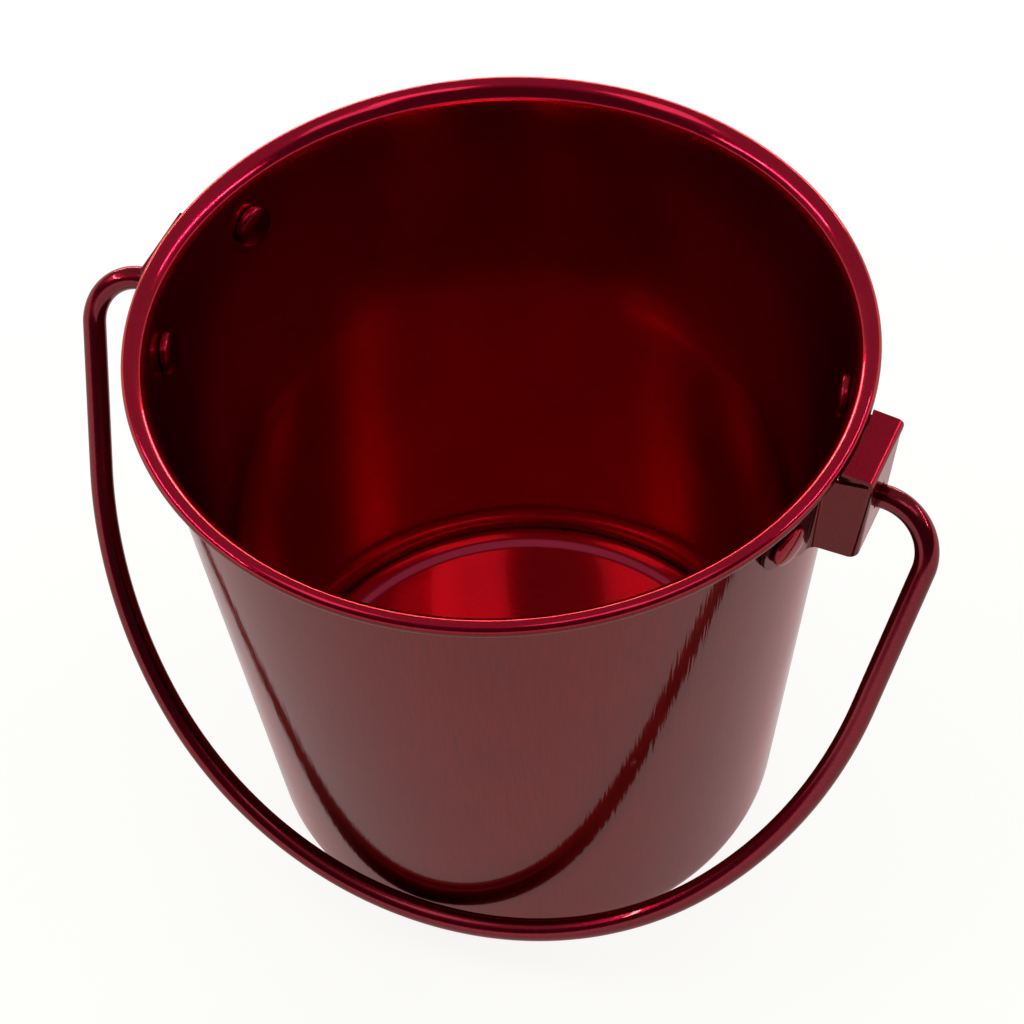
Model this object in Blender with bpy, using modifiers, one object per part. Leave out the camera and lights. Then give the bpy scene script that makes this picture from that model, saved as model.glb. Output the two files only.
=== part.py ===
"""Small tapered metal pail for paint: a turned body shell with a rolled rim, a pressed floor pan,
two boxed sheet ears riveted to the wall, and a round-wire bail that hinges in the ears.

Metres, +Z up. The origin is the centre of the base, the bail hinges about X, and -Y is the front.
"""

import math

import bmesh
import bpy
from mathutils import Matrix, Vector

# Driving dimensions.
HEIGHT = 0.1443
RIM_RADIUS = 0.080
BEAD_RADIUS = 0.0018
SHEET = 0.0008
BASE_LINE_RADIUS = 0.0583
WALL_TAPER = math.radians(6.94)
CORNER_RADIUS = 0.0096
FOOT_INNER_RADIUS = 0.045
TOUCH_GAP = 0.0003

# Rolled rim: the wall flares out through the first part of the turn, then curls down and back.
FLARE_END_HEADING = math.radians(30)
CURL_END_HEADING = math.radians(-215)

# Floor pan: a pressed disc with a stepped panel and a turned-down flange, dropped in from above.
FLOOR_TOP = 0.0120
FLOOR_STEP = 0.0008
FLOOR_STEP_RADIUS = 0.0524
PAN_EDGE_RADIUS = 0.0026
PAN_FLANGE_BOTTOM = 0.0088

# Ears: a sheet strip bent into a box, with a wing on each side that lies on the wall.
# The left ear is pressed shallower than the right.
EAR_SHEET = 0.0010
EAR_DEPTHS = {"right": 0.0110, "left": 0.0053}
EAR_HALF_WIDTH = 0.0095
EAR_TOP = HEIGHT - 0.0025
EAR_BOTTOM = HEIGHT - 0.0270
EAR_CORNER_RADIUS = 0.0016
WING_FILLET_RADIUS = 0.0026
WING_RADIUS = 0.0068
CHEEK_DROP = 0.0022
LID_GAP = 0.0004
LID_INNER_RADIUS = 0.0804
LID_SEGMENTS = 6
LID_EDGE_STEP = 0.00015
LID_PROUD = 0.00005

# Columns of the ear's grid, counted from the middle of its front.
WING_END_TURNS = [math.radians(a) for a in (25, 50, 68, 82)]
LID_COLUMNS = 1
CHEEK_END = 5
WING_START = 9
EAR_ROWS = 5

# Rivets: two through each ear, square to the wall.
RIVET_AZIMUTH = math.radians(16.5)
RIVET_HEIGHT = HEIGHT - 0.01325
RIVET_RADIUS = 0.0022
RIVET_HEAD_RADIUS = 0.0048
RIVET_HEAD_HEIGHT = 0.0022
RIVET_HEAD_EDGE = 0.0008

# Bail: one planar wire, with an upset head inside each ear.
WIRE_RADIUS = 0.0026
PIVOT_HEIGHT = HEIGHT - 0.0163
PIVOT_HOLE_RADIUS = 0.0030
BAIL_HALF_SPAN = 0.1000
BAIL_BEND_RADIUS = 0.0116
BAIL_LEG_SLOPE = math.radians(10.23)
BAIL_LEG_LENGTH = 0.0478
BAIL_SIDE_RADIUS = 0.1080
BAIL_SIDE_TURN = math.radians(30.76)
BAIL_HEAD_SCALE = 1.5
BAIL_HEAD_LENGTH = 0.0018
BAIL_HEAD_STEP = 0.00005

BODY_STEPS = 60
PAN_STEPS = 40
RIVET_STEPS = 16
MERGE_DISTANCE = 0.00001

# The cutters' lengths: enough to pass right through what they cut.
PIVOT_CUTTER_LENGTH = 0.006
RIVET_CUTTER_LENGTH = 0.012

RED = (0.20, 0.003, 0.010, 1.0)
DARK_RED = (0.12, 0.002, 0.007, 1.0)


def clear_scene():
    for obj in list(bpy.data.objects):
        bpy.data.objects.remove(obj, do_unlink=True)


def new_collection(name):
    collection = bpy.data.collections.new(name)
    bpy.context.scene.collection.children.link(collection)
    return collection


def new_material(name, colour, roughness, metallic):
    material = bpy.data.materials.new(name)
    material.use_nodes = True
    shader = material.node_tree.nodes["Principled BSDF"]
    shader.inputs["Base Color"].default_value = colour
    shader.inputs["Roughness"].default_value = roughness
    shader.inputs["Metallic"].default_value = metallic
    shader.inputs["Coat Weight"].default_value = 1.0
    return material


def new_object(name, mesh, collection, material=None):
    obj = bpy.data.objects.new(name, mesh)
    collection.objects.link(obj)
    if material:
        mesh.materials.append(material)
    return obj


def arc(centre, radius, start, end, segments):
    """Points on an arc of an (r, z) circle, both ends included."""
    angles = [start + (end - start) * i / segments for i in range(segments + 1)]
    return [
        (centre[0] + radius * math.cos(a), centre[1] + radius * math.sin(a))
        for a in angles
    ]


def outer_wall(z):
    """Outer radius of the conical wall at height z."""
    return BASE_LINE_RADIUS + z * math.tan(WALL_TAPER)


def middle_wall(z):
    """Radius of the middle of the wall's sheet at height z."""
    return outer_wall(z) - SHEET / 2 / math.cos(WALL_TAPER)


def ear_front(z, depth):
    """Outer face of an ear's front at height z: the box is square to the wall."""
    return outer_wall(z) + depth


def turned_sheet(name, profile, steps, collection, material):
    """A sheet turned about Z: the middle line of its section, given from the top down."""
    mesh = bpy.data.meshes.new(name)
    points = [(r, 0.0, z) for r, z in profile]
    mesh.from_pydata(points, [(i, i + 1) for i in range(len(points) - 1)], [])
    obj = new_object(name, mesh, collection, material)
    screw = obj.modifiers.new("turn", "SCREW")
    screw.axis = "Z"
    screw.steps = steps
    screw.render_steps = steps
    screw.use_merge_vertices = True
    screw.merge_threshold = MERGE_DISTANCE
    solidify = obj.modifiers.new("sheet", "SOLIDIFY")
    solidify.thickness = SHEET
    solidify.offset = 0.0
    solidify.use_even_offset = True
    return obj


def body_profile():
    """Rolled rim, flare, tapered wall, rounded corner and flat foot, from the top down."""
    roll = BEAD_RADIUS - SHEET / 2
    curl = (RIM_RADIUS - BEAD_RADIUS, HEIGHT - BEAD_RADIUS)
    wall_heading = math.pi / 2 - WALL_TAPER
    base = middle_wall(0.0)
    slope = math.tan(WALL_TAPER)
    # The flare is tangent to the curl and to the wall, which fixes its radius.
    reach = base + slope * (curl[1] + roll * math.cos(FLARE_END_HEADING)) - curl[0]
    reach += roll * math.sin(FLARE_END_HEADING)
    rise = math.cos(wall_heading) - math.cos(FLARE_END_HEADING)
    flare = reach / (math.sin(FLARE_END_HEADING) - math.sin(wall_heading) - slope * rise)
    flare_centre = (
        curl[0] + (flare - roll) * math.sin(FLARE_END_HEADING),
        curl[1] - (flare - roll) * math.cos(FLARE_END_HEADING),
    )
    quarter = math.pi / 2
    points = arc(curl, roll, CURL_END_HEADING + quarter, FLARE_END_HEADING + quarter, 9)
    points += arc(
        flare_centre, flare, FLARE_END_HEADING + quarter, wall_heading + quarter, 3
    )[1:]
    bend = CORNER_RADIUS - SHEET / 2
    tangent_height = CORNER_RADIUS - bend * math.sin(WALL_TAPER)
    corner = (middle_wall(tangent_height) - bend * math.cos(WALL_TAPER), CORNER_RADIUS)
    points += arc(corner, bend, -WALL_TAPER, -quarter, 6)
    points.append((FOOT_INNER_RADIUS, SHEET / 2))
    return points


def pan_profile():
    """Middle line of the floor pan's section: flange, rounded edge, raised ring and panel."""
    ring_height = FLOOR_TOP + FLOOR_STEP - SHEET / 2
    clear = (SHEET + TOUCH_GAP + SHEET / 2) / math.cos(WALL_TAPER)
    edge_height = ring_height - PAN_EDGE_RADIUS
    edge = (outer_wall(edge_height) - clear - PAN_EDGE_RADIUS, edge_height)
    panel = FLOOR_TOP - SHEET / 2
    points = [(outer_wall(PAN_FLANGE_BOTTOM) - clear, PAN_FLANGE_BOTTOM)]
    points += arc(edge, PAN_EDGE_RADIUS, -WALL_TAPER, math.pi / 2, 6)
    points += [
        (FLOOR_STEP_RADIUS + FLOOR_STEP, ring_height),
        (FLOOR_STEP_RADIUS, panel),
        (0.0, panel),
    ]
    return points


def ear_half_path(z, depth):
    """Plan of half an ear's strip at height z, from the middle of its front to its wing's end."""
    front = ear_front(z, depth) - EAR_SHEET / 2
    side = EAR_HALF_WIDTH - EAR_SHEET / 2
    wing = outer_wall(z) + (TOUCH_GAP + EAR_SHEET / 2) / math.cos(WALL_TAPER)
    corner = (front - EAR_CORNER_RADIUS, side - EAR_CORNER_RADIUS)
    fillet_y = side + WING_FILLET_RADIUS
    fillet = (math.sqrt((wing + WING_FILLET_RADIUS) ** 2 - fillet_y**2), fillet_y)
    touch = math.atan2(fillet[1], fillet[0])
    path = [(front, 0.0)]
    path += arc(corner, EAR_CORNER_RADIUS, 0.0, math.pi / 2, 3)
    path += arc(fillet, WING_FILLET_RADIUS, -math.pi / 2, touch - math.pi, 4)
    # Along the wing: up to the rivet, then round it in equal turns of the rounded end.
    path += [
        (wing * math.cos(a), wing * math.sin(a))
        for a in [touch + (RIVET_AZIMUTH - touch) * i / 2 for i in (1, 2)]
    ]
    for turn in WING_END_TURNS:
        a = RIVET_AZIMUTH + WING_RADIUS / wing * math.sin(turn)
        path.append((wing * math.cos(a), wing * math.sin(a)))
    return path


def ear_height_range(column):
    """Lowest and highest point of the strip at a column of its half path."""
    lid_underside = EAR_TOP - EAR_SHEET - LID_GAP
    if column <= LID_COLUMNS:
        return EAR_BOTTOM, EAR_TOP - EAR_SHEET / 2
    if column < CHEEK_END:
        return EAR_BOTTOM, lid_underside
    if column == CHEEK_END:
        return EAR_BOTTOM, lid_underside - CHEEK_DROP
    low = RIVET_HEIGHT - WING_RADIUS
    high = RIVET_HEIGHT + WING_RADIUS
    if column < WING_START:
        blend = (column - CHEEK_END) / (WING_START - CHEEK_END)
        blend = blend * blend * (3 - 2 * blend)
        top = lid_underside - CHEEK_DROP
        return EAR_BOTTOM + (low - EAR_BOTTOM) * blend, top + (high - top) * blend
    if column <= WING_START + 2:
        return low, high
    half = WING_RADIUS * math.cos(WING_END_TURNS[column - WING_START - 3])
    return RIVET_HEIGHT - half, RIVET_HEIGHT + half


def add_ear(name, depth, collection, cutters, material):
    """The bent strip from a grid, its folded lid joined on, in the place of the +X ear."""
    half = len(ear_half_path(RIVET_HEIGHT, depth)) - 1
    bm = bmesh.new()
    bmesh.ops.create_grid(bm, x_segments=2 * half, y_segments=EAR_ROWS, size=1.0)
    for vert in bm.verts:
        column = round(vert.co.x * half)
        low, high = ear_height_range(abs(column))
        z = low + (high - low) * (vert.co.y + 1) / 2
        x, y = ear_half_path(z, depth)[abs(column)]
        vert.co = Vector((x, math.copysign(y, column), z))
    mesh = bpy.data.meshes.new(name)
    bm.to_mesh(mesh)
    bm.free()
    ear = new_object(name, mesh, collection, material)
    solidify = ear.modifiers.new("sheet", "SOLIDIFY")
    solidify.thickness = EAR_SHEET
    solidify.offset = 0.0
    solidify.use_even_offset = True
    lid = add_lid(name + "_lid", depth, cutters)
    join = ear.modifiers.new("lid", "BOOLEAN")
    join.operation = "UNION"
    join.object = lid
    return ear, lid


def add_lid(name, depth, cutters):
    """The ear's top, folded back towards the rim and cut to the rim's curve, square to the wall."""
    front = ear_front(EAR_TOP, depth)
    width = EAR_HALF_WIDTH - LID_EDGE_STEP
    bm = bmesh.new()
    edges = []
    for i in range(LID_SEGMENTS + 1):
        y = width * (2 * i / LID_SEGMENTS - 1)
        inner = math.sqrt(LID_INNER_RADIUS**2 - y**2)
        edges.append([bm.verts.new((x - front, y, 0.0)) for x in (inner, front)])
    for (a, b), (c, d) in zip(edges, edges[1:]):
        bm.faces.new((a, b, d, c))
    extruded = bmesh.ops.extrude_face_region(bm, geom=bm.faces[:])
    lower = [item for item in extruded["geom"] if isinstance(item, bmesh.types.BMVert)]
    bmesh.ops.translate(bm, vec=(0.0, 0.0, -EAR_SHEET), verts=lower)
    bmesh.ops.recalc_face_normals(bm, faces=bm.faces)
    bmesh.ops.rotate(
        bm, cent=(0, 0, 0), matrix=Matrix.Rotation(WALL_TAPER, 3, "Y"), verts=bm.verts
    )
    bmesh.ops.translate(bm, vec=(front + LID_PROUD, 0.0, EAR_TOP), verts=bm.verts)
    mesh = bpy.data.meshes.new(name)
    bm.to_mesh(mesh)
    bm.free()
    return as_cutter(new_object(name, mesh, cutters))


def as_cutter(obj):
    obj.hide_render = True
    obj.display_type = "WIRE"
    return obj


def add_hole_cutter(name, radius, length, matrix, cutters):
    """A round bar along its local Z, for a hole."""
    bm = bmesh.new()
    bmesh.ops.create_cone(
        bm,
        cap_ends=True,
        segments=RIVET_STEPS,
        radius1=radius,
        radius2=radius,
        depth=length,
    )
    mesh = bpy.data.meshes.new(name)
    bm.to_mesh(mesh)
    bm.free()
    obj = new_object(name, mesh, cutters)
    obj.matrix_world = matrix
    return as_cutter(obj)


def cut(obj, cutter):
    hole = obj.modifiers.new(cutter.name, "BOOLEAN")
    hole.operation = "DIFFERENCE"
    hole.object = cutter


def rivet_matrix(azimuth):
    """Local +Z along the wall's outward normal, origin on the wall's outer face."""
    normal = Vector((math.cos(WALL_TAPER), 0.0, -math.sin(WALL_TAPER)))
    turn = Matrix.Rotation(azimuth, 4, "Z")
    place = Matrix.Translation((outer_wall(RIVET_HEIGHT), 0.0, RIVET_HEIGHT))
    return turn @ place @ normal.to_track_quat("Z", "Y").to_matrix().to_4x4()


def head_profile(seat, direction):
    """Half section of a rivet head, from its edge at the seat to its crown on the axis."""
    edge = RIVET_HEAD_EDGE
    dome = RIVET_HEAD_HEIGHT - edge
    points = [(RIVET_HEAD_RADIUS, seat)]
    for angle in (0, 30, 60, 90):
        a = math.radians(angle)
        r = RIVET_HEAD_RADIUS * math.cos(a)
        points.append((max(r, 0.0), seat + direction * (edge + dome * math.sin(a))))
    return points


def add_rivet(name, azimuth, collection, material):
    """A solid rivet: a domed head outside the ear, its shank, and a domed head inside the wall."""
    outside = TOUCH_GAP + EAR_SHEET + TOUCH_GAP
    wall_curve = RIVET_HEAD_RADIUS**2 / (2 * outer_wall(RIVET_HEIGHT))
    inside = -SHEET - TOUCH_GAP - wall_curve
    outer_head = head_profile(outside, 1.0)
    inner_head = head_profile(inside, -1.0)
    profile = outer_head[::-1] + [(RIVET_RADIUS, outside), (RIVET_RADIUS, inside)] + inner_head
    mesh = bpy.data.meshes.new(name)
    points = [(r, 0.0, z) for r, z in profile]
    mesh.from_pydata(points, [(i, i + 1) for i in range(len(points) - 1)], [])
    rivet = new_object(name, mesh, collection, material)
    screw = rivet.modifiers.new("turn", "SCREW")
    screw.axis = "Z"
    screw.steps = RIVET_STEPS
    screw.render_steps = RIVET_STEPS
    screw.use_merge_vertices = True
    screw.merge_threshold = MERGE_DISTANCE
    rivet.matrix_world = rivet_matrix(azimuth)
    return rivet


def bail_half_path(depth):
    """Half of the bail in its own plane, from its end to its middle: (x, distance from pivot)."""
    # The head clears the ear's front, which leans with the wall.
    lean = BAIL_HEAD_SCALE * WIRE_RADIUS * math.tan(WALL_TAPER)
    head = ear_front(PIVOT_HEIGHT, depth) - EAR_SHEET - 2 * TOUCH_GAP - lean
    turn = math.pi / 2 + BAIL_LEG_SLOPE
    bend_start = BAIL_HALF_SPAN - BAIL_BEND_RADIUS * math.tan(turn / 2)
    path = [(head - BAIL_HEAD_LENGTH, 0.0), (head, 0.0), (head + BAIL_HEAD_STEP, 0.0)]
    path += arc((bend_start, BAIL_BEND_RADIUS), BAIL_BEND_RADIUS, -math.pi / 2, BAIL_LEG_SLOPE, 7)
    side_x = BAIL_HALF_SPAN - BAIL_LEG_LENGTH * math.sin(BAIL_LEG_SLOPE)
    side_y = BAIL_LEG_LENGTH * math.cos(BAIL_LEG_SLOPE)
    side = (
        side_x - BAIL_SIDE_RADIUS * math.cos(BAIL_LEG_SLOPE),
        side_y - BAIL_SIDE_RADIUS * math.sin(BAIL_LEG_SLOPE),
    )
    bottom_start = BAIL_LEG_SLOPE + BAIL_SIDE_TURN
    path += arc(side, BAIL_SIDE_RADIUS, BAIL_LEG_SLOPE, bottom_start, 7)
    end = path[-1]
    bottom_radius = end[0] / math.cos(bottom_start)
    bottom = (0.0, end[1] - bottom_radius * math.sin(bottom_start))
    path += arc(bottom, bottom_radius, bottom_start, math.pi / 2, 9)[1:]
    return path


def bail_rest_angle():
    """Lean of the hanging bail from straight down, where its lowest point meets the wall."""
    reach = bail_half_path(EAR_DEPTHS["right"])[-1][1]
    offset = WIRE_RADIUS + TOUCH_GAP + outer_wall(PIVOT_HEIGHT) * math.cos(WALL_TAPER)
    return math.asin(offset / reach) - WALL_TAPER


def add_bail(name, collection, material):
    """One wire from a curve, its spline in the local XZ plane and its origin on the hinge axis."""
    right = bail_half_path(EAR_DEPTHS["right"])
    left = bail_half_path(EAR_DEPTHS["left"])
    path = right + [(-x, drop) for x, drop in left[-2::-1]]
    curve = bpy.data.curves.new(name, "CURVE")
    curve.dimensions = "3D"
    curve.bevel_depth = WIRE_RADIUS
    curve.bevel_resolution = 3
    curve.use_fill_caps = True
    spline = curve.splines.new("POLY")
    spline.points.add(len(path) - 1)
    for i, (x, drop) in enumerate(path):
        spline.points[i].co = (x, 0.0, -drop, 1.0)
        in_head = min(i, len(path) - 1 - i) < 2
        spline.points[i].radius = BAIL_HEAD_SCALE if in_head else 1.0
    bail = new_object(name, curve, collection, material)
    bail.location = (0.0, 0.0, PIVOT_HEIGHT)
    bail.rotation_euler = (-bail_rest_angle(), 0.0, 0.0)
    return bail


def main():
    clear_scene()
    parts = new_collection("paint_pail")
    cutters = new_collection("cutters")
    cutters.hide_render = True
    body_paint = new_material("body_paint", RED, 0.30, 0.9)
    ear_paint = new_material("ear_paint", DARK_RED, 0.30, 0.9)
    rivet_paint = new_material("rivet_paint", DARK_RED, 0.28, 0.9)
    bail_paint = new_material("bail_paint", DARK_RED, 0.28, 0.9)
    floor_paint = new_material("floor_paint", RED, 0.30, 0.9)

    body = turned_sheet("can_body", body_profile(), BODY_STEPS, parts, body_paint)
    turned_sheet("floor_pan", pan_profile(), PAN_STEPS, parts, floor_paint)
    for side, facing in (("right", 0.0), ("left", math.pi)):
        turn = Matrix.Rotation(facing, 4, "Z")
        depth = EAR_DEPTHS[side]
        ear, lid = add_ear("ear_" + side, depth, parts, cutters, ear_paint)
        ear.matrix_world = turn
        lid.matrix_world = turn
        pivot_front = (ear_front(PIVOT_HEIGHT, depth), 0.0, PIVOT_HEIGHT)
        pivot = turn @ Matrix.Translation(pivot_front)
        pivot = pivot @ Matrix.Rotation(math.pi / 2, 4, "Y")
        hole = add_hole_cutter(
            "pivot_hole_" + side, PIVOT_HOLE_RADIUS, PIVOT_CUTTER_LENGTH, pivot, cutters
        )
        cut(ear, hole)
        for place, azimuth in (("front", -RIVET_AZIMUTH), ("rear", RIVET_AZIMUTH)):
            end = "_" + side + "_" + place
            if facing:
                azimuth = facing - azimuth
            matrix = rivet_matrix(azimuth)
            radius = RIVET_RADIUS + TOUCH_GAP
            hole = add_hole_cutter(
                "rivet_hole" + end, radius, RIVET_CUTTER_LENGTH, matrix, cutters
            )
            cut(ear, hole)
            cut(body, hole)
            add_rivet("rivet" + end, azimuth, parts, rivet_paint)
    add_bail("bail", parts, bail_paint)
    for obj in parts.objects:
        if obj.type == "MESH":
            obj.data.shade_smooth()


main()
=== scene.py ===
"""Small tapered metal pail with a rolled rim, a floor pan, two riveted box ears and a wire bail.

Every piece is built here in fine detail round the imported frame: metres, +Z up, the base's centre
at the origin, the bail's hinge along X, and -Y the front.
"""

import math

import bmesh
import bpy
from mathutils import Matrix, Vector


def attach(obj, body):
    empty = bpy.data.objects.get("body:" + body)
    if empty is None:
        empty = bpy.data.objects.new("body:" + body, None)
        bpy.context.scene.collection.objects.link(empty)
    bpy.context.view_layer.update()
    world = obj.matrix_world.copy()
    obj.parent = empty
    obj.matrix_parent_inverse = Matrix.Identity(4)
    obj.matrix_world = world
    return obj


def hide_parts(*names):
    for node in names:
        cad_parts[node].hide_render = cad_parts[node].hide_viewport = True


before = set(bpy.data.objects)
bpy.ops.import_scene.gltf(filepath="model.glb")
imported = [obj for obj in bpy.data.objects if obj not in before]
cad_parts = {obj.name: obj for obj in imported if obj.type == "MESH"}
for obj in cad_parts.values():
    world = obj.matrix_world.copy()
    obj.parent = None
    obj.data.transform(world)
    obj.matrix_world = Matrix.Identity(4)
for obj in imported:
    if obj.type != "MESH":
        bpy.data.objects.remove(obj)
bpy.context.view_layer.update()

QUARTER = math.pi / 2
NEAR_ZERO = 1e-6

# Driving dimensions. They are the CAD part's, but for the ear's lid and cheeks, which are told of
# below, and for the rim's radius and the bail's span, which keep just inside the CAD's box.
HEIGHT = 0.1443
RIM_RADIUS = 0.07997
BEAD_RADIUS = 0.0018
SHEET = 0.0008
BASE_LINE_RADIUS = 0.0583
WALL_TAPER = math.radians(6.94)
CORNER_RADIUS = 0.0096
FOOT_INNER_RADIUS = 0.045
TOUCH_GAP = 0.0003
FLARE_END_HEADING = math.radians(30)
CURL_END_HEADING = math.radians(-215)

FLOOR_TOP = 0.0120
FLOOR_STEP = 0.0008
FLOOR_STEP_RADIUS = 0.0524
PAN_EDGE_RADIUS = 0.0026
PAN_FLANGE_BOTTOM = 0.0088

EAR_SHEET = 0.0010
EAR_DEPTHS = {"right": 0.0110, "left": 0.0053}
EAR_HALF_WIDTH = 0.0095
EAR_SIDE = EAR_HALF_WIDTH - EAR_SHEET / 2
EAR_TOP = HEIGHT - 0.0025
EAR_BOTTOM = HEIGHT - 0.0270
EAR_CORNER_RADIUS = 0.0016
EAR_FOLD_RADIUS = 0.0014
EAR_EDGE_BEVEL = 0.00025
WING_FILLET_RADIUS = 0.0026
WING_RADIUS = 0.0068
LID_GAP = 0.0004
LID_SKIRT = 0.0012
LID_END_STEP = 0.0001
# The lid reaches nearer the rim than the CAD's, and the cheeks rise higher under it, to close the
# view through the ear. A cheek is its upper edge's drop below the lid at the wall, and a hump just
# outside the rim, by column.
LID_INNER_RADIUS = 0.0802
CHEEK_START_DROP = 0.0004
FRONT_CHEEK = (0.0013, {})
REAR_CHEEK = (0.0, {4: 0.0003, 5: 0.0005})

RIVET_AZIMUTH = math.radians(16.5)
RIVET_HEIGHT = HEIGHT - 0.01325
RIVET_SHANK_RADIUS = 0.0022
RIVET_HEAD_RADIUS = 0.0048
RIVET_HEAD_HEIGHT = 0.0022
RIVET_HEAD_EDGE = 0.0008
RIVET_SEAT_ROUND = 0.0002
RIVET_DOME_POWERS = (0.85, 0.95)

WIRE_RADIUS = 0.0026
PIVOT_HEIGHT = HEIGHT - 0.0163
PIVOT_HOLE_RADIUS = 0.0030
BAIL_HALF_SPAN = 0.0998
BAIL_BEND_RADIUS = 0.0116
BAIL_LEG_SLOPE = math.radians(10.23)
BAIL_LEG_LENGTH = 0.0478
BAIL_SIDE_RADIUS = 0.1080
BAIL_SIDE_TURN = math.radians(30.76)
BAIL_HEAD_SCALE = 1.5
BAIL_HEAD_LENGTH = 0.0018
BAIL_HEAD_ROUND = 0.0004

# How finely each shape is drawn.
BODY_STEPS = 360
CAP_STEPS = 6
CURL_STEPS = 40
FLARE_STEPS = 8
WALL_STEPS = 30
BASE_CORNER_STEPS = 14
FOOT_STEPS = 3
PAN_EDGE_STEPS = 16
PAN_RAMP_STEPS = 16
PANEL_STEPS = 12
FRONT_STEPS = 8
EAR_CORNER_STEPS = 8
CHEEK_STEPS = 6
FILLET_STEPS = 10
WING_STEPS = 8
WING_END_TURNS = [math.radians(turn) for turn in (10, 20, 30, 40, 50, 58, 66, 73, 79, 84)]
EAR_ROWS = 24
FOLD_STEPS = 8
LID_STEPS = 8
LID_STRIPS = 28
PIVOT_HOLE_STEPS = 64
RIVET_STEPS = 64
SEAT_ROUND_STEPS = 4
DOME_STEPS = 20
HEAD_ROUND_STEPS = 6
WIRE_SIDES = 40
SHAFT_STEPS = 12
BEND_STEPS = 40
LEG_STEPS = 30
SIDE_STEPS = 60
BOTTOM_STEPS = 80


# ---------------------------------------------------------------- geometry

def arc(centre, radius, start, end, segments):
    angles = [start + (end - start) * i / segments for i in range(segments + 1)]
    return [(centre[0] + radius * math.cos(a), centre[1] + radius * math.sin(a)) for a in angles]


def line(start, end, segments):
    """Points from start to end, without the first."""
    return [
        tuple(a + (b - a) * i / segments for a, b in zip(start, end))
        for i in range(1, segments + 1)
    ]


def ease(t):
    """A smooth step from 0 at t = 0 to 1 at t = 1, and 0 before."""
    t = max(t, 0.0)
    return t * t * (3 - 2 * t)


def outer_wall(z):
    return BASE_LINE_RADIUS + z * math.tan(WALL_TAPER)


def middle_wall(z):
    return outer_wall(z) - SHEET / 2 / math.cos(WALL_TAPER)


def wall_normal():
    return Vector((math.cos(WALL_TAPER), 0.0, -math.sin(WALL_TAPER)))


def mesh_object(name, bm, material, slot, body, *nodes):
    """A finished piece: rides on its body and stands for its CAD nodes. Its slot is not used."""
    mesh = bpy.data.meshes.new(name)
    bm.to_mesh(mesh)
    bm.free()
    mesh.shade_smooth()
    mesh.materials.append(material)
    obj = bpy.data.objects.new(name, mesh)
    bpy.context.scene.collection.objects.link(obj)
    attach(obj, body)
    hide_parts(*nodes)
    return obj


def sheet_outline(points, thickness):
    """The closed outline of a sheet whose middle line is given, with rounded ends.

    It runs along one side, round the last end, back along the other side and round the first end.
    """
    half = thickness / 2
    normals = []
    for i in range(len(points)):
        a = points[max(i - 1, 0)]
        b = points[min(i + 1, len(points) - 1)]
        dx, dy = b[0] - a[0], b[1] - a[1]
        length = math.hypot(dx, dy)
        normals.append((-dy / length, dx / length))
    one = [(p[0] + n[0] * half, p[1] + n[1] * half) for p, n in zip(points, normals)]
    two = [(p[0] - n[0] * half, p[1] - n[1] * half) for p, n in zip(points, normals)]

    def cap(point, normal):
        start = math.atan2(normal[1], normal[0])
        return arc(point, half, start, start - math.pi, CAP_STEPS)[1:-1]

    last_end = cap(points[-1], normals[-1])
    first_end = cap(points[0], (-normals[0][0], -normals[0][1]))
    return one + last_end + two[::-1] + first_end


def bridge(bm, one, two, sides):
    """Faces between two rings, either of which may be a single vertex."""
    for i in range(sides):
        j = (i + 1) % sides
        corners = []
        for v in (one[i % len(one)], one[j % len(one)], two[j % len(two)], two[i % len(two)]):
            if v not in corners:
                corners.append(v)
        if len(corners) > 2:
            bm.faces.new(corners)


def lathe(outline, steps, closed=True):
    """An outline of (r, z) turned about Z. Points on the axis become one vertex."""
    bm = bmesh.new()
    rings = []
    for r, z in outline:
        if r < NEAR_ZERO:
            rings.append([bm.verts.new((0, 0, z))])
            continue
        angles = (2 * math.pi * i / steps for i in range(steps))
        rings.append([bm.verts.new((r * math.cos(a), r * math.sin(a), z)) for a in angles])
    pairs = list(zip(rings, rings[1:]))
    if closed:
        pairs.append((rings[-1], rings[0]))
    for one, two in pairs:
        bridge(bm, one, two, steps)
    bmesh.ops.recalc_face_normals(bm, faces=bm.faces)
    return bm


def add_grid_faces(bm, columns):
    """Four-sided faces between neighbouring columns of vertices."""
    for a, b in zip(columns, columns[1:]):
        for i in range(len(a) - 1):
            bm.faces.new((a[i], b[i], b[i + 1], a[i + 1]))


# ---------------------------------------------------------------- shell and floor pan

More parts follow.
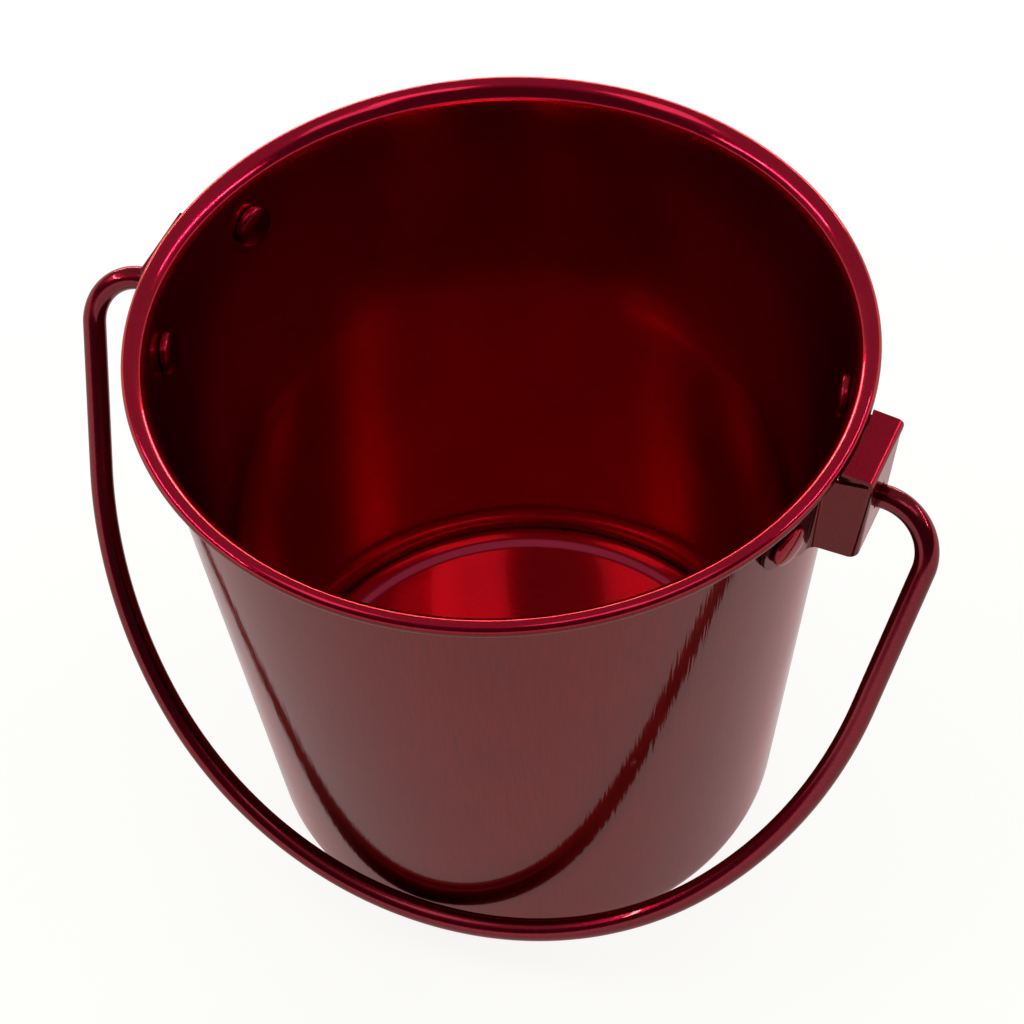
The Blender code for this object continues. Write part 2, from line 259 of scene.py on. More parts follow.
def body_profile():
    """Middle line of the shell: curl, flare, wall, corner and foot, from the top down."""
    roll = BEAD_RADIUS - SHEET / 2
    curl = (RIM_RADIUS - BEAD_RADIUS, HEIGHT - BEAD_RADIUS)
    wall_heading = QUARTER - WALL_TAPER
    slope = math.tan(WALL_TAPER)
    reach = middle_wall(0.0) + slope * (curl[1] + roll * math.cos(FLARE_END_HEADING)) - curl[0]
    reach += roll * math.sin(FLARE_END_HEADING)
    rise = math.cos(wall_heading) - math.cos(FLARE_END_HEADING)
    flare = reach / (math.sin(FLARE_END_HEADING) - math.sin(wall_heading) - slope * rise)
    flare_centre = (
        curl[0] + (flare - roll) * math.sin(FLARE_END_HEADING),
        curl[1] - (flare - roll) * math.cos(FLARE_END_HEADING),
    )
    start, middle, end = (
        heading + QUARTER for heading in (CURL_END_HEADING, FLARE_END_HEADING, wall_heading)
    )
    points = arc(curl, roll, start, middle, CURL_STEPS)
    points += arc(flare_centre, flare, middle, end, FLARE_STEPS)[1:]
    bend = CORNER_RADIUS - SHEET / 2
    tangent_height = CORNER_RADIUS - bend * math.sin(WALL_TAPER)
    corner = (middle_wall(tangent_height) - bend * math.cos(WALL_TAPER), CORNER_RADIUS)
    turned = arc(corner, bend, -WALL_TAPER, -QUARTER, BASE_CORNER_STEPS)
    points += line(points[-1], turned[0], WALL_STEPS) + turned[1:]
    points += line(points[-1], (FOOT_INNER_RADIUS, SHEET / 2), FOOT_STEPS)
    return points


def pan_profile():
    """Middle line of the floor pan: flange, rounded edge, raised ring and panel, to the axis."""
    ring_height = FLOOR_TOP + FLOOR_STEP - SHEET / 2
    clear = (SHEET + TOUCH_GAP + SHEET / 2) / math.cos(WALL_TAPER)
    edge_height = ring_height - PAN_EDGE_RADIUS
    edge = (outer_wall(edge_height) - clear - PAN_EDGE_RADIUS, edge_height)
    panel = FLOOR_TOP - SHEET / 2
    points = [(outer_wall(PAN_FLANGE_BOTTOM) - clear, PAN_FLANGE_BOTTOM)]
    points += arc(edge, PAN_EDGE_RADIUS, -WALL_TAPER, QUARTER, PAN_EDGE_STEPS)
    # The step from the raised ring down to the panel is an easy S.
    start, end = FLOOR_STEP_RADIUS + 2 * FLOOR_STEP, FLOOR_STEP_RADIUS - 2 * FLOOR_STEP
    for i in range(1, PAN_RAMP_STEPS + 1):
        t = i / PAN_RAMP_STEPS
        points.append((start + (end - start) * t, ring_height + (panel - ring_height) * ease(t)))
    points += line(points[-1], (0.0, panel), PANEL_STEPS)
    return points


def add_body(material):
    bm = lathe(sheet_outline(body_profile(), SHEET), BODY_STEPS)
    mesh_object("can_body_visual", bm, material, "body", "pail", "can_body")


def add_pan(material):
    middle = pan_profile()
    outline = sheet_outline(middle, SHEET)
    # The panel reaches the axis, so the rounded end there is left out.
    del outline[len(middle):len(middle) + CAP_STEPS - 1]
    bm = lathe(outline, BODY_STEPS)
    mesh_object("floor_pan_visual", bm, material, "floor", "pail", "floor_pan")


# ---------------------------------------------------------------- ears

def ear_front(z, depth):
    return outer_wall(z) + depth


def ear_plan(z, depth):
    """An ear's middle line at a height: the front's x, the wing's radius, the fillet's centre
    and the azimuth where the fillet meets the wing."""
    front = ear_front(z, depth) - EAR_SHEET / 2
    wing = outer_wall(z) + (TOUCH_GAP + EAR_SHEET / 2) / math.cos(WALL_TAPER)
    fillet_y = EAR_SIDE + WING_FILLET_RADIUS
    fillet = (math.sqrt((wing + WING_FILLET_RADIUS) ** 2 - fillet_y**2), fillet_y)
    return front, wing, fillet, math.atan2(fillet[1], fillet[0])


def ear_columns(depth, cheek_drop, hump):
    """Half an ear as upright lines, from the middle of its front to the end of its wing.

    Each is (place, bottom, top), where place gives x and y at a height.
    """
    straight = EAR_SIDE - EAR_CORNER_RADIUS

    def on_front(t):
        return lambda z: (ear_plan(z, depth)[0], straight * t)

    def on_corner(angle):
        return lambda z: (
            ear_plan(z, depth)[0] - EAR_CORNER_RADIUS * (1 - math.cos(angle)),
            straight + EAR_CORNER_RADIUS * math.sin(angle),
        )

    def on_cheek(t):
        def place(z):
            front, _, fillet, _ = ear_plan(z, depth)
            start = front - EAR_CORNER_RADIUS
            return (start + (fillet[0] - start) * t, EAR_SIDE)
        return place

    def on_fillet(t):
        def place(z):
            _, _, fillet, touch = ear_plan(z, depth)
            angle = -QUARTER + (touch - math.pi + QUARTER) * t
            return (
                fillet[0] + WING_FILLET_RADIUS * math.cos(angle),
                fillet[1] + WING_FILLET_RADIUS * math.sin(angle),
            )
        return place

    def on_wing(angle):
        def place(z):
            wing = ear_plan(z, depth)[1]
            return (wing * math.cos(angle), wing * math.sin(angle))
        return place

    fold_start = EAR_TOP - EAR_FOLD_RADIUS
    lid_underside = EAR_TOP - EAR_SHEET - LID_GAP
    cheek_start, cheek_end = lid_underside - CHEEK_START_DROP, lid_underside - cheek_drop
    columns = [(on_front(i / FRONT_STEPS), EAR_BOTTOM, fold_start) for i in range(FRONT_STEPS + 1)]
    for i in range(1, EAR_CORNER_STEPS + 1):
        t = i / EAR_CORNER_STEPS
        top = fold_start + (cheek_start - fold_start) * t
        columns.append((on_corner(QUARTER * t), EAR_BOTTOM, top))
    for i in range(1, CHEEK_STEPS + 1):
        t = i / CHEEK_STEPS
        top = cheek_start + (cheek_end - cheek_start) * t + hump.get(i, 0.0)
        columns.append((on_cheek(t), EAR_BOTTOM, top))

    # The lower edge stays level round the fillet and rises along the wing.
    low, high = RIVET_HEIGHT - WING_RADIUS, RIVET_HEIGHT + WING_RADIUS
    _, wing, _, touch = ear_plan(RIVET_HEIGHT, depth)
    steps = FILLET_STEPS + WING_STEPS
    for i in range(1, steps + 1):
        along_wing = (i - FILLET_STEPS) / WING_STEPS
        if along_wing <= 0:
            place = on_fillet(i / FILLET_STEPS)
        else:
            place = on_wing(touch + (RIVET_AZIMUTH - touch) * along_wing)
        bottom = EAR_BOTTOM + (low - EAR_BOTTOM) * ease(along_wing)
        top = cheek_end + (high - cheek_end) * ease(i / steps)
        columns.append((place, bottom, top))

    # The wing's round end, about the rivet.
    for turn in WING_END_TURNS:
        place = on_wing(RIVET_AZIMUTH + WING_RADIUS / wing * math.sin(turn))
        half = WING_RADIUS * math.cos(turn)
        columns.append((place, RIVET_HEIGHT - half, RIVET_HEIGHT + half))
    return columns


def add_ear_strip(bm, depth):
    """The bent strip: wing, fillet, cheek and front, and the same again on the rear side."""
    columns = [(column, -1) for column in ear_columns(depth, *FRONT_CHEEK)[:0:-1]]
    columns += [(column, 1) for column in ear_columns(depth, *REAR_CHEEK)]
    grid = []
    for (place, bottom, top), sign in columns:
        heights = [bottom + (top - bottom) * row / EAR_ROWS for row in range(EAR_ROWS + 1)]
        points = [(*place(z), z) for z in heights]
        grid.append([bm.verts.new((x, sign * y, z)) for x, y, z in points])
    add_grid_faces(bm, grid)


def add_lid(bm, depth):
    """The lid, folded over from the front and flat to the rim's curve.

    The shallow ear has no room for one, so its front ends in a plain edge.
    """
    outward = wall_normal()
    down = Vector((-math.sin(WALL_TAPER), 0.0, -math.cos(WALL_TAPER)))
    fold = EAR_FOLD_RADIUS - EAR_SHEET / 2
    front = ear_front(EAR_TOP, depth)
    centre = Vector((front, 0.0, EAR_TOP)) + (down - outward) * EAR_FOLD_RADIUS
    face = centre + outward * fold
    section = [face + down * LID_SKIRT, face + down * LID_END_STEP]
    has_lid = front - EAR_FOLD_RADIUS > RIM_RADIUS
    if has_lid:
        for i in range(FOLD_STEPS + 1):
            angle = QUARTER * i / FOLD_STEPS
            section.append(centre + (outward * math.cos(angle) - down * math.sin(angle)) * fold)
    else:
        section.append(face - down * EAR_FOLD_RADIUS)

    end = section[-1]
    strips = []
    for i in range(LID_STRIPS + 1):
        y = (EAR_HALF_WIDTH - LID_END_STEP) * (2 * i / LID_STRIPS - 1)
        path = list(section)
        if has_lid:
            length = (end.x - math.sqrt(LID_INNER_RADIUS**2 - y**2)) / outward.x
            path += [end - outward * length * t / LID_STEPS for t in range(1, LID_STEPS + 1)]
        strips.append([bm.verts.new((p.x, y, p.z)) for p in path])
    add_grid_faces(bm, strips)


def pivot_hole_cutter(sign, depth):
    """A rod along X through an ear's front, at the bail's hinge."""
    bm = bmesh.new()
    bmesh.ops.create_cone(
        bm, cap_ends=True, segments=PIVOT_HOLE_STEPS, radius1=PIVOT_HOLE_RADIUS,
        radius2=PIVOT_HOLE_RADIUS, depth=6 * EAR_SHEET,
    )
    mesh = bpy.data.meshes.new("hole")
    bm.to_mesh(mesh)
    bm.free()
    hole = bpy.data.objects.new("hole", mesh)
    bpy.context.scene.collection.objects.link(hole)
    place = Matrix.Translation((sign * ear_front(PIVOT_HEIGHT, depth), 0, PIVOT_HEIGHT))
    hole.matrix_world = place @ Matrix.Rotation(QUARTER, 4, "Y")
    return hole


def bake_modifiers(obj):
    """The object's mesh as its modifiers leave it, and no modifiers."""
    bpy.context.view_layer.update()
    graph = bpy.context.evaluated_depsgraph_get()
    mesh = bpy.data.meshes.new_from_object(obj.evaluated_get(graph))
    obj.modifiers.clear()
    obj.data = mesh


def round_edges(obj, width, angle):
    bevel = obj.modifiers.new("edges", "BEVEL")
    bevel.width = width
    bevel.segments = 3
    bevel.limit_method = "ANGLE"
    bevel.angle_limit = angle
    bevel.use_clamp_overlap = True
    bevel.harden_normals = True


def add_ear(side, material):
    depth = EAR_DEPTHS[side]
    sign = 1 if side == "right" else -1
    bm = bmesh.new()
    add_ear_strip(bm, depth)
    add_lid(bm, depth)
    if sign < 0:
        half_turn = Matrix.Rotation(math.pi, 3, "Z")
        bmesh.ops.rotate(bm, cent=(0, 0, 0), matrix=half_turn, verts=bm.verts)
    ear = mesh_object("ear_%s_visual" % side, bm, material, "ear", "pail", "ear_" + side)
    solid = ear.modifiers.new("sheet", "SOLIDIFY")
    solid.thickness = EAR_SHEET
    solid.offset = 0.0
    solid.use_even_offset = True
    hole = pivot_hole_cutter(sign, depth)
    cut = ear.modifiers.new("hole", "BOOLEAN")
    cut.operation = "DIFFERENCE"
    cut.object = hole
    bake_modifiers(ear)
    bpy.data.objects.remove(hole, do_unlink=True)
    round_edges(ear, EAR_EDGE_BEVEL, math.radians(35))


# ---------------------------------------------------------------- rivets

def rivet_matrix(azimuth):
    """From a rivet's own axes, +Z out of the wall, to its place at an azimuth."""
    turn = Matrix.Rotation(azimuth, 4, "Z")
    place = Matrix.Translation((outer_wall(RIVET_HEIGHT), 0.0, RIVET_HEIGHT))
    return turn @ place @ wall_normal().to_track_quat("Z", "Y").to_matrix().to_4x4()


def head_outline(seat, direction):
    """Half section of a head: rounded edge, short side and low dome, from its seat to its crown."""
    dome = RIVET_HEAD_HEIGHT - RIVET_HEAD_EDGE
    across, up = RIVET_DOME_POWERS
    points = [(RIVET_HEAD_RADIUS - RIVET_SEAT_ROUND, seat)]
    for i in range(1, SEAT_ROUND_STEPS + 1):
        a = QUARTER * i / SEAT_ROUND_STEPS
        r = RIVET_HEAD_RADIUS - RIVET_SEAT_ROUND * (1 - math.sin(a))
        points.append((r, seat + direction * RIVET_SEAT_ROUND * (1 - math.cos(a))))
    for i in range(1, DOME_STEPS + 1):
        a = QUARTER * i / DOME_STEPS
        # A superellipse gives the flattened crown with full shoulders.
        r = RIVET_HEAD_RADIUS * math.cos(a) ** across if i < DOME_STEPS else 0.0
        points.append((r, seat + direction * (RIVET_HEAD_EDGE + dome * math.sin(a) ** up)))
    return points


def add_rivet(name, azimuth, material):
    outside = TOUCH_GAP + EAR_SHEET + TOUCH_GAP
    wall_curve = RIVET_HEAD_RADIUS**2 / (2 * outer_wall(RIVET_HEIGHT))
    inside = -SHEET - TOUCH_GAP - wall_curve
    outline = head_outline(outside, 1.0)[::-1]
    outline += [(RIVET_SHANK_RADIUS, outside), (RIVET_SHANK_RADIUS, inside)]
    outline += head_outline(inside, -1.0)
    bm = lathe(outline, RIVET_STEPS, closed=False)
    bm.transform(rivet_matrix(azimuth))
    mesh_object(name + "_visual", bm, material, "rivet", "pail", name)


# ---------------------------------------------------------------- bail

def bail_head(head):
    """The upset head behind an ear's front, as (x, drop, radius), from its end to the wire."""
    big = WIRE_RADIUS * BAIL_HEAD_SCALE
    turns = [QUARTER * i / HEAD_ROUND_STEPS for i in range(HEAD_ROUND_STEPS + 1)]
    path = [(head - BAIL_HEAD_LENGTH, 0.0, 0.0)]
    for a in turns:
        x = head - BAIL_HEAD_LENGTH + BAIL_HEAD_ROUND * (1 - math.cos(a))
        path.append((x, 0.0, big - BAIL_HEAD_ROUND * (1 - math.sin(a))))
    for a in turns:
        x = head - BAIL_HEAD_ROUND * (1 - math.sin(a))
        path.append((x, 0.0, big - BAIL_HEAD_ROUND * (1 - math.cos(a))))
    path.append((head, 0.0, WIRE_RADIUS))
    return path


def bail_half_path(depth):
    """Half of the bail in its own plane, from its end to its middle, with the wire's radius."""
    lean = BAIL_HEAD_SCALE * WIRE_RADIUS * math.tan(WALL_TAPER)
    head = ear_front(PIVOT_HEIGHT, depth) - EAR_SHEET - 2 * TOUCH_GAP - lean
    turn = QUARTER + BAIL_LEG_SLOPE
    bend_start = BAIL_HALF_SPAN - BAIL_BEND_RADIUS * math.tan(turn / 2)
    corner = (bend_start, BAIL_BEND_RADIUS)
    bend = arc(corner, BAIL_BEND_RADIUS, -QUARTER, BAIL_LEG_SLOPE, BEND_STEPS)
    run = line((head, 0.0), bend[0], SHAFT_STEPS) + bend[1:]
    side_x = BAIL_HALF_SPAN - BAIL_LEG_LENGTH * math.sin(BAIL_LEG_SLOPE)
    side_y = BAIL_LEG_LENGTH * math.cos(BAIL_LEG_SLOPE)
    side = (
        side_x - BAIL_SIDE_RADIUS * math.cos(BAIL_LEG_SLOPE),
        side_y - BAIL_SIDE_RADIUS * math.sin(BAIL_LEG_SLOPE),
    )
    bottom_start = BAIL_LEG_SLOPE + BAIL_SIDE_TURN
    sides = arc(side, BAIL_SIDE_RADIUS, BAIL_LEG_SLOPE, bottom_start, SIDE_STEPS)
    run += line(run[-1], sides[0], LEG_STEPS) + sides[1:]
    end = run[-1]
    bottom_radius = end[0] / math.cos(bottom_start)
    bottom = (0.0, end[1] - bottom_radius * math.sin(bottom_start))
    run += arc(bottom, bottom_radius, bottom_start, QUARTER, BOTTOM_STEPS)[1:]
    return bail_head(head) + [(x, drop, WIRE_RADIUS) for x, drop in run]


def bail_rest_angle():
    """The swing from straight down at which the bail's middle leans on the wall."""
    reach = bail_half_path(EAR_DEPTHS["right"])[-1][1]
    offset = WIRE_RADIUS + TOUCH_GAP + outer_wall(PIVOT_HEIGHT) * math.cos(WALL_TAPER)
    return math.asin(offset / reach) - WALL_TAPER


def wire_ring(bm, before, here, after):
    """The ring of vertices round a point of the bail's path, across the path's direction."""
    x, drop, radius = here
    if radius <= 0.0:
        return [bm.verts.new((x, 0.0, -drop))]
    dx, dy = after[0] - before[0], after[1] - before[1]
    length = math.hypot(dx, dy)
    nx, ny = -dy / length, dx / length
    ring = []
    for k in range(WIRE_SIDES):
        t = 2 * math.pi * k / WIRE_SIDES
        c, s = radius * math.cos(t), radius * math.sin(t)
        ring.append(bm.verts.new((x + nx * c, s, -(drop + ny * c))))
    return ring


def add_bail(material):
    right = bail_half_path(EAR_DEPTHS["right"])
    left = bail_half_path(EAR_DEPTHS["left"])
    path = right + [(-x, drop, r) for x, drop, r in left[-2::-1]]
    last = len(path) - 1
    bm = bmesh.new()
    rings = [
        wire_ring(bm, path[max(i - 1, 0)], path[i], path[min(i + 1, last)])
        for i in range(last + 1)
    ]
    for one, two in zip(rings, rings[1:]):
        bridge(bm, one, two, WIRE_SIDES)
    bmesh.ops.recalc_face_normals(bm, faces=bm.faces)
    swing = Matrix.Rotation(-bail_rest_angle(), 4, "X")
    bm.transform(Matrix.Translation((0, 0, PIVOT_HEIGHT)) @ swing)
    mesh_object("bail_visual", bm, material, "bail", "bail", "bail")


# ---------------------------------------------------------------- materials

FLAKE_SCALE = 3600.0
CLOUD_SCALE = 38.0
CLOUD_CONTRAST = 0.5
PEEL_SCALE = 300.0
FINE_BRUSH_SCALE = 150.0
COARSE_BRUSH_SCALE = 110.0
BRUSH_CONTRAST = 1.2
BRUSH_STRETCH = 0.7
# Each relief's strength and depth in metres.
FLAKE_RELIEF = (0.2, 0.00005)
PEEL_RELIEF = (0.03, 0.00010)
FINE_BRUSH_RELIEF = (0.25, 0.00004)
COARSE_BRUSH_RELIEF = (0.45, 0.00006)
# From upright faces, painted in shade, to level faces, painted in light, as the height of their
# normals.
UPRIGHT_TO_LEVEL = (0.25, 0.75)
INSIDE_SMOOTHER_BY = 0.09
METAL = 0.93
LACQUER_TINT = (0.5, 0.0, 0.01, 1.0)
COAT_ROUGHNESS = 0.03
COAT_IOR = 1.5


def tones(deep, bright):
    """A lacquer's deep and bright colours, given as (red, green, blue)."""
    return (*deep, 1.0), (*bright, 1.0)


# The shell's polished inside and level faces, painted in bright red as painted light.
POLISHED_LIT = tones((0.46, 0.0, 0.014), (0.80, 0.001, 0.065))


class Nodes:
    """Short names for making and joining a material's nodes."""

    def __init__(self, owner, shader="Principled BSDF"):
        owner.use_nodes = True
        self.tree = owner.node_tree
        self.shader = self.tree.nodes[shader]

    def new(self, kind, **settings):
        node = self.tree.nodes.new("ShaderNode" + kind)
        for key, value in settings.items():
            setattr(node, key, value)
        return node

    def join(self, out, into):
        self.tree.links.new(out, into)

    def split(self, vector):
        """The X, Y and Z outputs of a vector."""
        node = self.new("SeparateXYZ")
        self.join(vector, node.inputs[0])
        return node.outputs

    def math(self, operation, a, b, clamp=False):
        node = self.new("Math", operation=operation, use_clamp=clamp)
        for socket, value in zip(node.inputs, (a, b)):
            if isinstance(value, (int, float)):
                socket.default_value = value
            else:
                self.join(value, socket)
        return node.outputs[0]

    def span(self, value, from_min, from_max, to_min, to_max):
        node = self.new("MapRange", clamp=True)
        for index, number in enumerate((from_min, from_max, to_min, to_max), start=1):
            node.inputs[index].default_value = number
        self.join(value, node.inputs[0])
        return node.outputs[0]

    def noise(self, vector, scale, detail=2.0, roughness=0.5):
        node = self.new("TexNoise")
        node.inputs["Scale"].default_value = scale
        node.inputs["Detail"].default_value = detail
        node.inputs["Roughness"].default_value = roughness
        self.join(vector, node.inputs["Vector"])
        return node.outputs["Fac"]

    def mix(self, factor, a, b):
        node = self.new("Mix", data_type="RGBA")
        for index, value in ((0, factor), (6, a), (7, b)):
            if isinstance(value, tuple):
                node.inputs[index].default_value = value
            else:
                self.join(value, node.inputs[index])
        return node.outputs[2]

    def bump(self, height, strength, distance, normal=None):
        node = self.new("Bump")
        if isinstance(strength, float):
            node.inputs["Strength"].default_value = strength
        else:
            self.join(strength, node.inputs["Strength"])
        node.inputs["Distance"].default_value = distance
        self.join(height, node.inputs["Height"])
        if normal:
            self.join(normal, node.inputs["Normal"])
        return node.outputs["Normal"]


def wall_brushing(n, coordinates):
    """Fine and coarse brushing up the wall, and 1 where a face looks away from the axis."""
    place = coordinates.outputs["Object"]
    flat = n.new("VectorMath", operation="MULTIPLY")
    flat.inputs[1].default_value = (1.0, 1.0, 0.0)
    n.join(place, flat.inputs[0])
    unit = n.new("VectorMath", operation="NORMALIZE")
    n.join(flat.outputs[0], unit.inputs[0])
    outward = unit.outputs[0]
    # Round the wall the noise is fine, and along it the height is shortened to draw it out.
    axes = n.split(outward)
    stretched = n.new("CombineXYZ")
    n.join(axes[0], stretched.inputs[0])
    n.join(axes[1], stretched.inputs[1])
    n.join(n.math("MULTIPLY", n.split(place)[2], BRUSH_STRETCH), stretched.inputs[2])
    fine = n.noise(stretched.outputs[0], FINE_BRUSH_SCALE, 2.0, 0.6)
    coarse = n.noise(stretched.outputs[0], COARSE_BRUSH_SCALE, 1.0, 0.5)
    facing = n.new("VectorMath", operation="DOT_PRODUCT")
    n.join(outward, facing.inputs[0])
    n.join(coordinates.outputs["Normal"], facing.inputs[1])
    return fine, coarse, n.span(facing.outputs["Value"], -0.2, 0.2, 0.0, 1.0)


def candy_paint(name, shaded_tones, lit_tones, roughness, flake, gloss=0.5, brushed=False):
    """Clear red lacquer over bare metal: brushed or flaked metal under a smooth glossy coat.

    The shaded tones colour the upright faces darker, as painted shade, and the lit tones those that
    look up lighter, as painted light. On the brushed shell the lit tones are also on the inside,
    which is polished.
    """
    material = bpy.data.materials.new(name)
    n = Nodes(material)
    coordinates = n.new("TexCoord")
    place = coordinates.outputs["Object"]

    # Flakes: small cells, each with its own lightness and lean.
    cells = n.new("TexVoronoi", feature="F1")
    cells.inputs["Scale"].default_value = FLAKE_SCALE
    n.join(place, cells.inputs["Vector"])
    tone = n.new("SeparateColor")
    n.join(cells.outputs["Color"], tone.inputs[0])
    sparkle = n.span(tone.outputs[0], 0.0, 1.0, 0.5 - 0.5 * flake, 0.5 + 0.5 * flake)
    cloud = n.noise(place, CLOUD_SCALE, 3.0, 0.55)
    clouding = n.math("MULTIPLY", n.math("SUBTRACT", cloud, 0.5), CLOUD_CONTRAST)
    value = n.math("ADD", sparkle, clouding)
    # Upright faces take the darker tones and level faces the lighter ones: painted shade and
    # painted light, by how each face lies.
    shade_mask = n.span(n.split(coordinates.outputs["Normal"])[2], *UPRIGHT_TO_LEVEL, 1.0, 0.0)
    rough = n.span(cloud, 0.3, 0.7, roughness - 0.03, roughness + 0.04)

    # The flakes lean a little, and the coat has a slow orange peel.
    strength, depth = FLAKE_RELIEF
    lean = n.bump(tone.outputs[1], strength * flake, depth)
    coat = n.bump(n.noise(place, PEEL_SCALE, 1.0, 0.4), *PEEL_RELIEF)

    if brushed:
        # The brushing shows in the metal's colour and lean, and a trace of it in the coat.
        fine, coarse, outside = wall_brushing(n, coordinates)
        # On the shell only the outward upright faces keep the painted shade. The same mask sets
        # where the brushing shows and where the rest is made smoother.
        shade_mask = n.math("MULTIPLY", outside, shade_mask)
        contrast = n.math("MULTIPLY", shade_mask, BRUSH_CONTRAST)
        grain = n.math("MULTIPLY", n.math("SUBTRACT", fine, 0.5), contrast)
        value = n.math("ADD", value, grain)
        rough = n.math("SUBTRACT", rough, n.span(shade_mask, 0.0, 1.0, INSIDE_SMOOTHER_BY, 0.0))
        strength, depth = FINE_BRUSH_RELIEF
        lean = n.bump(fine, n.math("MULTIPLY", shade_mask, strength), depth, lean)
        strength, depth = COARSE_BRUSH_RELIEF
        coat = n.bump(coarse, n.math("MULTIPLY", shade_mask, strength), depth, coat)

    value = n.math("ADD", value, 0.0, clamp=True)
    # The colour: painted shade on the upright faces, painted light on the level ones.
    colour = n.mix(shade_mask, n.mix(value, *lit_tones), n.mix(value, *shaded_tones))
    n.join(colour, n.shader.inputs["Base Color"])
    n.join(rough, n.shader.inputs["Roughness"])
    n.join(lean, n.shader.inputs["Normal"])
    n.join(coat, n.shader.inputs["Coat Normal"])
    n.shader.inputs["Metallic"].default_value = METAL
    n.shader.inputs["Specular Tint"].default_value = LACQUER_TINT
    n.shader.inputs["Coat Weight"].default_value = gloss
    n.shader.inputs["Coat Roughness"].default_value = COAT_ROUGHNESS
    n.shader.inputs["Coat IOR"].default_value = COAT_IOR
    return material


def body_paint():
    # The outward wall painted in dark red as painted shade.
    shaded_red = tones((0.08, 0.0, 0.001), (0.16, 0.0, 0.003))
    return candy_paint("body_lacquer", shaded_red, POLISHED_LIT, 0.22, 0.3, gloss=0.42, brushed=True)


def floor_paint():
    pressed = tones((0.44, 0.0, 0.020), (0.80, 0.004, 0.100))
    return candy_paint("floor_lacquer", pressed, pressed, 0.19, 0.3, gloss=1.0)


def ear_paint():
    # Upright faces painted dark as painted shade, level faces painted bright as painted light.
    upright = tones((0.05, 0.0, 0.002), (0.14, 0.0, 0.006))
    level = tones((0.36, 0.0, 0.012), (0.74, 0.001, 0.05))
    return candy_paint("ear_lacquer", upright, level, 0.24, 0.4, gloss=0.36)


def rivet_paint():
    # Upright faces painted dark as painted shade, level faces painted bright as painted light.
    upright = tones((0.12, 0.0, 0.006), (0.34, 0.0, 0.018))
    level = tones((0.30, 0.0, 0.010), (0.60, 0.001, 0.040))
    return candy_paint("rivet_lacquer", upright, level, 0.24, 0.4, gloss=0.4)


def bail_paint():
    # Upright faces painted dark as painted shade, level faces painted bright as painted light.
    upright = tones((0.05, 0.0, 0.003), (0.20, 0.001, 0.012))
    level = tones((0.14, 0.0, 0.006), (0.44, 0.001, 0.028))
    return candy_paint("bail_lacquer", upright, level, 0.20, 0.4)


# ---------------------------------------------------------------- stage

CAMERA_AZIMUTH = math.radians(26.402)
CAMERA_ELEVATION = math.radians(46.628)
CAMERA_DISTANCE = 0.720
CAMERA_ORBIT_HEIGHT = 0.14228
CAMERA_TARGET = Vector((0.01227, -0.02436, 0.11781))
CAMERA_ROLL = math.radians(3.66)
LENS = 120.13
SENSOR = 36.0
UP = Vector((0.0, 0.0, 1.0))

SOFT_WHITE = (1.0, 1.0, 0.985, 1.0)
FLOOR_HALF_SIZE = 4.0
FLOOR_DROP = 0.0001
FLOOR_GREYS = ((0.22, 0.22, 0.22, 1.0), (0.26, 0.26, 0.25, 1.0))
FLOOR_GLOW_COLOUR = (1.0, 1.0, 0.98, 1.0)
FLOOR_GLOW = 0.89
HORIZON_LIGHT = 1.1
HORIZON_BAND = (0.04, 0.12)
ROOM_LIGHT = 0.06
SWEEP_LIGHT = 0.28
SWEEP_BAND = (0.12, 0.42)
SWEEP_ELEVATION = math.radians(45)

# Each lamp's name, azimuth from the camera's and elevation in degrees, distance, size, radiance.
LAMP_AIM = Vector((0.0, 0.0, 0.07))
LAMPS = (
    ("box_left", -72, 60.5, 1.3, (0.40, 0.38), 1.1),
    ("box_right", 52, 58, 1.3, (0.44, 0.26), 1.0),
    ("box_high", 28, 68, 1.3, (0.41, 0.23), 1.3),
    ("strip_left", -95, 30, 1.3, (0.90, 0.03), 24),
    ("strip_right", 95, 30, 1.3, (0.90, 0.03), 24),
    ("strip_back", 180, 10, 1.5, (2.00, 0.10), 14),
)


def toward(azimuth, elevation):
    """Unit vector from the object to a place seen from it, azimuth 0 being the front."""
    flat = math.cos(elevation)
    return Vector((math.sin(azimuth) * flat, -math.cos(azimuth) * flat, math.sin(elevation)))


def add_camera():
    data = bpy.data.cameras.new("camera")
    data.sensor_width = SENSOR
    data.lens = LENS
    data.clip_start = 0.01
    camera = bpy.data.objects.new("camera", data)
    bpy.context.scene.collection.objects.link(camera)
    back = toward(CAMERA_AZIMUTH, CAMERA_ELEVATION)
    place = UP * CAMERA_ORBIT_HEIGHT + back * CAMERA_DISTANCE
    forward = (CAMERA_TARGET - place).normalized()
    right = forward.cross(UP).normalized()
    up = right.cross(forward)
    cos, sin = math.cos(CAMERA_ROLL), math.sin(CAMERA_ROLL)
    right, up = right * cos - up * sin, up * cos + right * sin
    axes = Matrix((right, up, -forward)).transposed()
    camera.matrix_world = Matrix.Translation(place) @ axes.to_4x4()
    bpy.context.scene.camera = camera


def add_lamp(name, azimuth, elevation, distance, size, radiance):
    data = bpy.data.lights.new(name, "AREA")
    data.shape = "RECTANGLE"
    data.size, data.size_y = size
    data.energy = radiance * math.pi * size[0] * size[1]
    lamp = bpy.data.objects.new(name, data)
    bpy.context.scene.collection.objects.link(lamp)
    direction = toward(CAMERA_AZIMUTH + math.radians(azimuth), math.radians(elevation))
    lamp.location = LAMP_AIM + direction * distance
    lamp.rotation_euler = (LAMP_AIM - lamp.location).to_track_quat("-Z", "Y").to_euler()


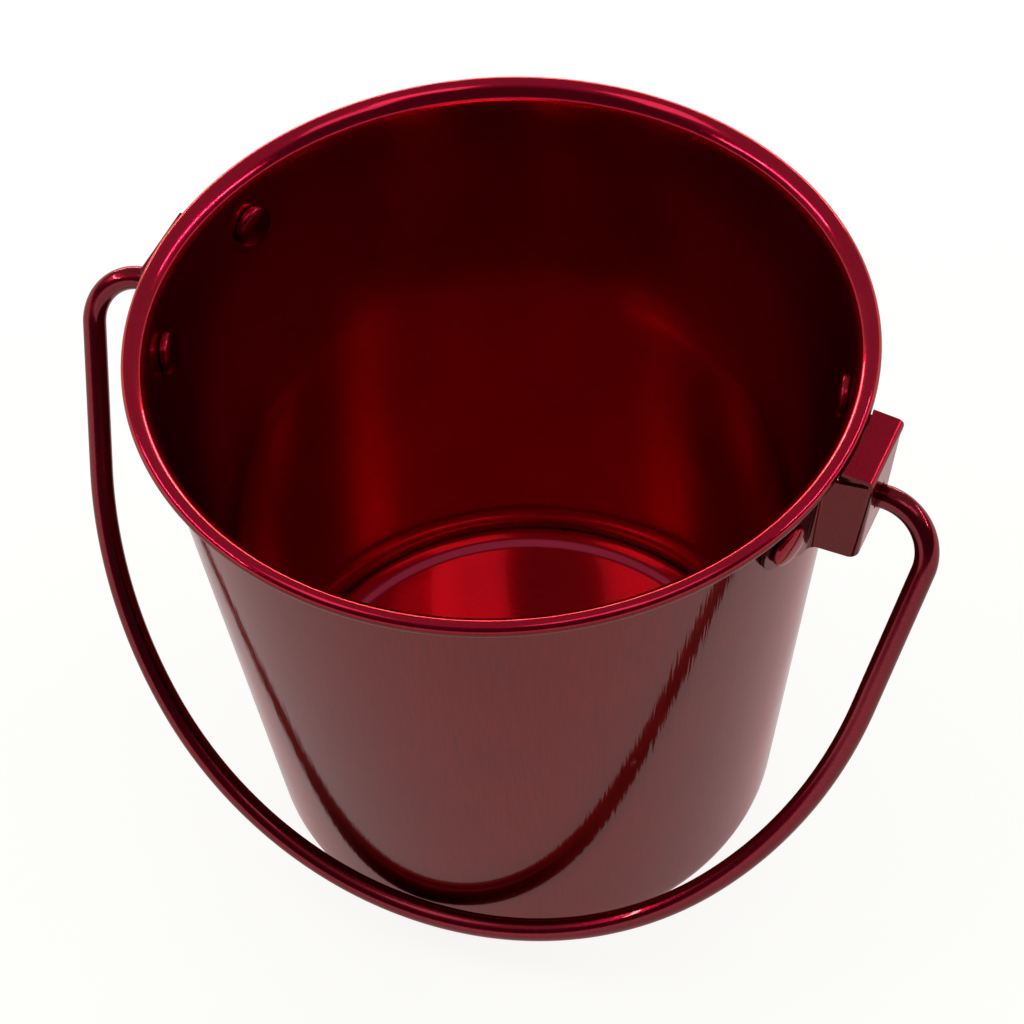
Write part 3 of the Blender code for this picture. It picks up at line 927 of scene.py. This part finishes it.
def add_world():
    """A white sweep along the floor, up behind the object and overhead, and a dark room."""
    world = bpy.data.worlds.new("studio")
    bpy.context.scene.world = world
    n = Nodes(world, "Background")
    direction = n.new("TexCoord").outputs["Generated"]
    horizon = n.span(n.split(direction)[2], *HORIZON_BAND, HORIZON_LIGHT, ROOM_LIGHT)
    away = n.new("VectorMath", operation="DOT_PRODUCT")
    away.inputs[1].default_value = -toward(CAMERA_AZIMUTH, -SWEEP_ELEVATION)
    n.join(direction, away.inputs[0])
    sweep = n.span(away.outputs["Value"], *SWEEP_BAND, ROOM_LIGHT, SWEEP_LIGHT)
    n.join(n.math("MAXIMUM", horizon, sweep), n.shader.inputs["Strength"])
    n.shader.inputs["Color"].default_value = SOFT_WHITE


def add_floor():
    bm = bmesh.new()
    bmesh.ops.create_grid(bm, x_segments=1, y_segments=1, size=FLOOR_HALF_SIZE)
    mesh = bpy.data.meshes.new("floor")
    bm.to_mesh(mesh)
    bm.free()
    floor = bpy.data.objects.new("floor", mesh)
    floor.location = (0, 0, -FLOOR_DROP)
    bpy.context.scene.collection.objects.link(floor)
    material = bpy.data.materials.new("floor_white")
    n = Nodes(material)
    soft = n.noise(n.new("TexCoord").outputs["Object"], 3.0)
    n.join(n.mix(soft, *FLOOR_GREYS), n.shader.inputs["Base Color"])
    n.shader.inputs["Emission Color"].default_value = FLOOR_GLOW_COLOUR
    n.shader.inputs["Emission Strength"].default_value = FLOOR_GLOW
    n.shader.inputs["Roughness"].default_value = 0.6
    n.shader.inputs["Specular IOR Level"].default_value = 0.2
    mesh.materials.append(material)


def main():
    body = body_paint()
    pan = floor_paint()
    ear = ear_paint()
    rivet = rivet_paint()
    wire = bail_paint()
    add_body(body)
    add_pan(pan)
    for side in ("right", "left"):
        add_ear(side, ear)
        for place, azimuth in (("front", -RIVET_AZIMUTH), ("rear", RIVET_AZIMUTH)):
            if side == "left":
                azimuth = math.pi - azimuth
            add_rivet("rivet_%s_%s" % (side, place), azimuth, rivet)
    add_bail(wire)
    add_floor()
    add_world()
    add_camera()
    for lamp in LAMPS:
        add_lamp(*lamp)
    bpy.context.scene.view_settings.view_transform = "Standard"


main()
